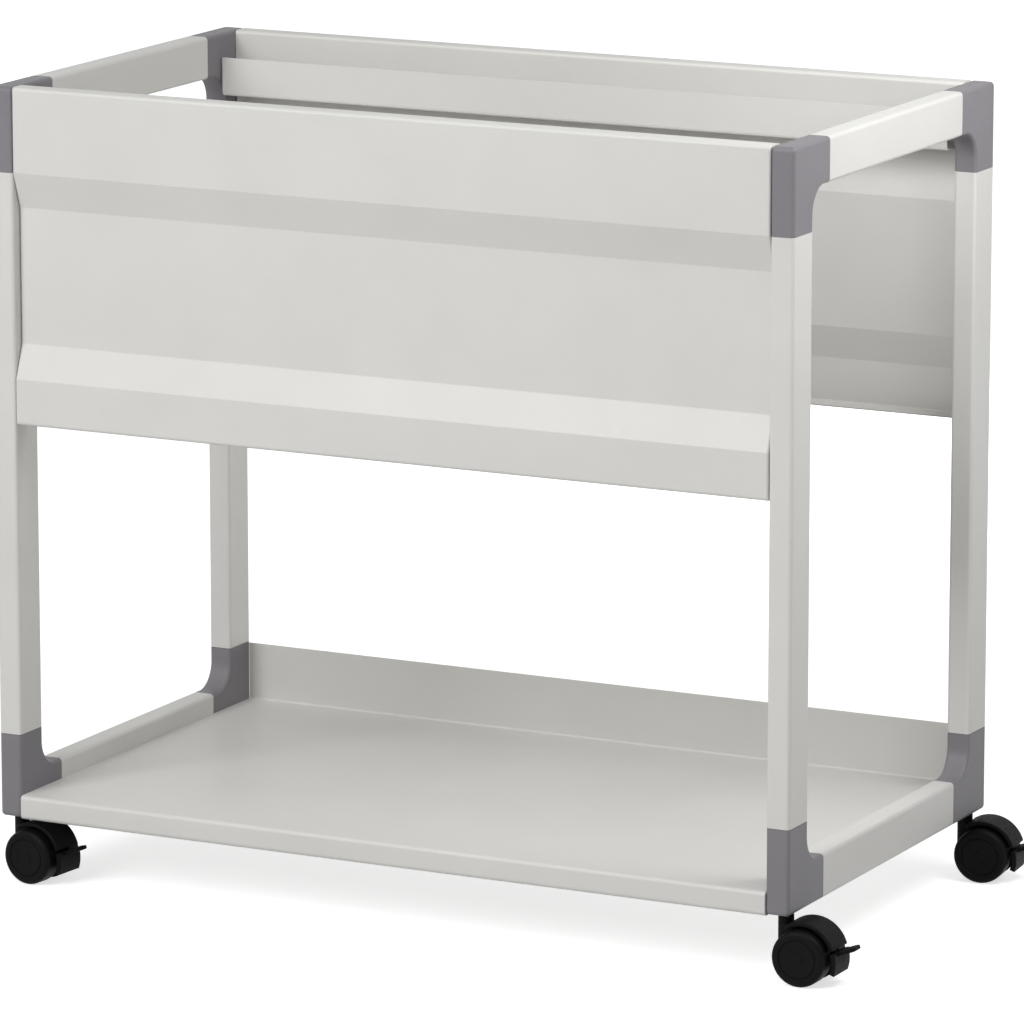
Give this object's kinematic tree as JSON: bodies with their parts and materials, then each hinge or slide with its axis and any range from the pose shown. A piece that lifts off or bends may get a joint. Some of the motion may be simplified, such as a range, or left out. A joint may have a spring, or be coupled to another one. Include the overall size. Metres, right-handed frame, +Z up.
{
  "type": "mobile file cart",
  "caption": "Mobile file cart: open steel frame with moulded corners, folded panels round a hanging-file bay, a low shelf, and braked twin-wheel casters.",
  "frame": {"origin": "on the floor, under the middle of the cart", "axes": "+X along the front to the right, +Y from front to rear, +Z up"},
  "size_m": [0.903, 0.4486, 0.73],
  "materials": {
    "painted_steel": "light grey powder coat, fine texture",
    "grey_plastic": "mid grey moulded plastic, satin",
    "black_plastic": "black moulded plastic",
    "black_wheel": "black hard wheel, satin",
    "zinc_steel": "zinc-plated steel"
  },
  "bodies": {
    "frame": {"top_end_rail_left": "painted_steel", "bottom_end_rail_left": "painted_steel", "top_end_rail_right": "painted_steel", "bottom_end_rail_right": "painted_steel", "post_front_left": "painted_steel", "top_corner_front_left": "grey_plastic", "bottom_corner_front_left": "grey_plastic", "panel_screw_front_left_upper": "zinc_steel", "panel_screw_front_left_lower": "zinc_steel", "shelf_screw_front_left": "zinc_steel", "caster_stem_front_left": "zinc_steel", "post_front_right": "painted_steel", "top_corner_front_right": "grey_plastic", "bottom_corner_front_right": "grey_plastic", "panel_screw_front_right_upper": "zinc_steel", "panel_screw_front_right_lower": "zinc_steel", "shelf_screw_front_right": "zinc_steel", "caster_stem_front_right": "zinc_steel", "post_rear_left": "painted_steel", "top_corner_rear_left": "grey_plastic", "bottom_corner_rear_left": "grey_plastic", "panel_screw_rear_left_upper": "zinc_steel", "panel_screw_rear_left_lower": "zinc_steel", "shelf_screw_rear_left": "zinc_steel", "caster_stem_rear_left": "zinc_steel", "post_rear_right": "painted_steel", "top_corner_rear_right": "grey_plastic", "bottom_corner_rear_right": "grey_plastic", "panel_screw_rear_right_upper": "zinc_steel", "panel_screw_rear_right_lower": "zinc_steel", "shelf_screw_rear_right": "zinc_steel", "caster_stem_rear_right": "zinc_steel", "front_panel": "painted_steel", "front_file_rail": "painted_steel", "rear_panel": "painted_steel", "rear_file_rail": "painted_steel", "shelf": "painted_steel"},
    "caster_front_left": {"caster_housing_front_left": "black_plastic", "caster_axle_front_left": "zinc_steel"},
    "wheel_a_front_left": {"wheel_a_front_left": "black_wheel"},
    "wheel_b_front_left": {"wheel_b_front_left": "black_wheel"},
    "brake_front_left": {"brake_pedal_front_left": "black_plastic"},
    "caster_front_right": {"caster_housing_front_right": "black_plastic", "caster_axle_front_right": "zinc_steel"},
    "wheel_a_front_right": {"wheel_a_front_right": "black_wheel"},
    "wheel_b_front_right": {"wheel_b_front_right": "black_wheel"},
    "brake_front_right": {"brake_pedal_front_right": "black_plastic"},
    "caster_rear_left": {"caster_housing_rear_left": "black_plastic", "caster_axle_rear_left": "zinc_steel"},
    "wheel_a_rear_left": {"wheel_a_rear_left": "black_wheel"},
    "wheel_b_rear_left": {"wheel_b_rear_left": "black_wheel"},
    "brake_rear_left": {"brake_pedal_rear_left": "black_plastic"},
    "caster_rear_right": {"caster_housing_rear_right": "black_plastic", "caster_axle_rear_right": "zinc_steel"},
    "wheel_a_rear_right": {"wheel_a_rear_right": "black_wheel"},
    "wheel_b_rear_right": {"wheel_b_rear_right": "black_wheel"},
    "brake_rear_right": {"brake_pedal_rear_right": "black_plastic"}
  },
  "joints": [
    {"name": "swivel_front_left", "type": "hinge", "parent": "frame", "child": "caster_front_left", "pos_m": [-0.383, -0.195, 0.05], "axis": [0, 0, 1], "continuous": true},
    {"name": "wheel_spin_a_front_left", "type": "hinge", "parent": "caster_front_left", "child": "wheel_a_front_left", "pos_m": [-0.36162, -0.19725, 0.025], "axis": [0.1045, 0.9945, 0], "continuous": true},
    {"name": "wheel_spin_b_front_left", "type": "hinge", "parent": "caster_front_left", "child": "wheel_b_front_left", "pos_m": [-0.36162, -0.19725, 0.025], "axis": [0.1045, 0.9945, 0], "continuous": true},
    {"name": "brake_front_left", "type": "hinge", "parent": "caster_front_left", "child": "brake_front_left", "pos_m": [-0.34317, -0.19919, 0.03103], "axis": [0.1045, 0.9945, 0], "range_deg": [0, 10]},
    {"name": "swivel_front_right", "type": "hinge", "parent": "frame", "child": "caster_front_right", "pos_m": [0.383, -0.195, 0.05], "axis": [0, 0, 1], "continuous": true},
    {"name": "wheel_spin_a_front_right", "type": "hinge", "parent": "caster_front_right", "child": "wheel_a_front_right", "pos_m": [0.4045, -0.195, 0.025], "axis": [0, 1, 0], "continuous": true},
    {"name": "wheel_spin_b_front_right", "type": "hinge", "parent": "caster_front_right", "child": "wheel_b_front_right", "pos_m": [0.4045, -0.195, 0.025], "axis": [0, 1, 0], "continuous": true},
    {"name": "brake_front_right", "type": "hinge", "parent": "caster_front_right", "child": "brake_front_right", "pos_m": [0.42305, -0.195, 0.03103], "axis": [0, 1, 0], "range_deg": [0, 10]},
    {"name": "swivel_rear_left", "type": "hinge", "parent": "frame", "child": "caster_rear_left", "pos_m": [-0.383, 0.195, 0.05], "axis": [0, 0, 1], "continuous": true},
    {"name": "wheel_spin_a_rear_left", "type": "hinge", "parent": "caster_rear_left", "child": "wheel_a_rear_left", "pos_m": [-0.4045, 0.195, 0.025], "axis": [0, -1, 0], "continuous": true},
    {"name": "wheel_spin_b_rear_left", "type": "hinge", "parent": "caster_rear_left", "child": "wheel_b_rear_left", "pos_m": [-0.4045, 0.195, 0.025], "axis": [0, -1, 0], "continuous": true},
    {"name": "brake_rear_left", "type": "hinge", "parent": "caster_rear_left", "child": "brake_rear_left", "pos_m": [-0.42305, 0.195, 0.03103], "axis": [0, -1, 0], "range_deg": [0, 10]},
    {"name": "swivel_rear_right", "type": "hinge", "parent": "frame", "child": "caster_rear_right", "pos_m": [0.383, 0.195, 0.05], "axis": [0, 0, 1], "continuous": true},
    {"name": "wheel_spin_a_rear_right", "type": "hinge", "parent": "caster_rear_right", "child": "wheel_a_rear_right", "pos_m": [0.40438, 0.19725, 0.025], "axis": [-0.1045, 0.9945, 0], "continuous": true},
    {"name": "wheel_spin_b_rear_right", "type": "hinge", "parent": "caster_rear_right", "child": "wheel_b_rear_right", "pos_m": [0.40438, 0.19725, 0.025], "axis": [-0.1045, 0.9945, 0], "continuous": true},
    {"name": "brake_rear_right", "type": "hinge", "parent": "caster_rear_right", "child": "brake_rear_right", "pos_m": [0.42283, 0.19919, 0.03103], "axis": [-0.1045, 0.9945, 0], "range_deg": [0, 10]}
  ]
}
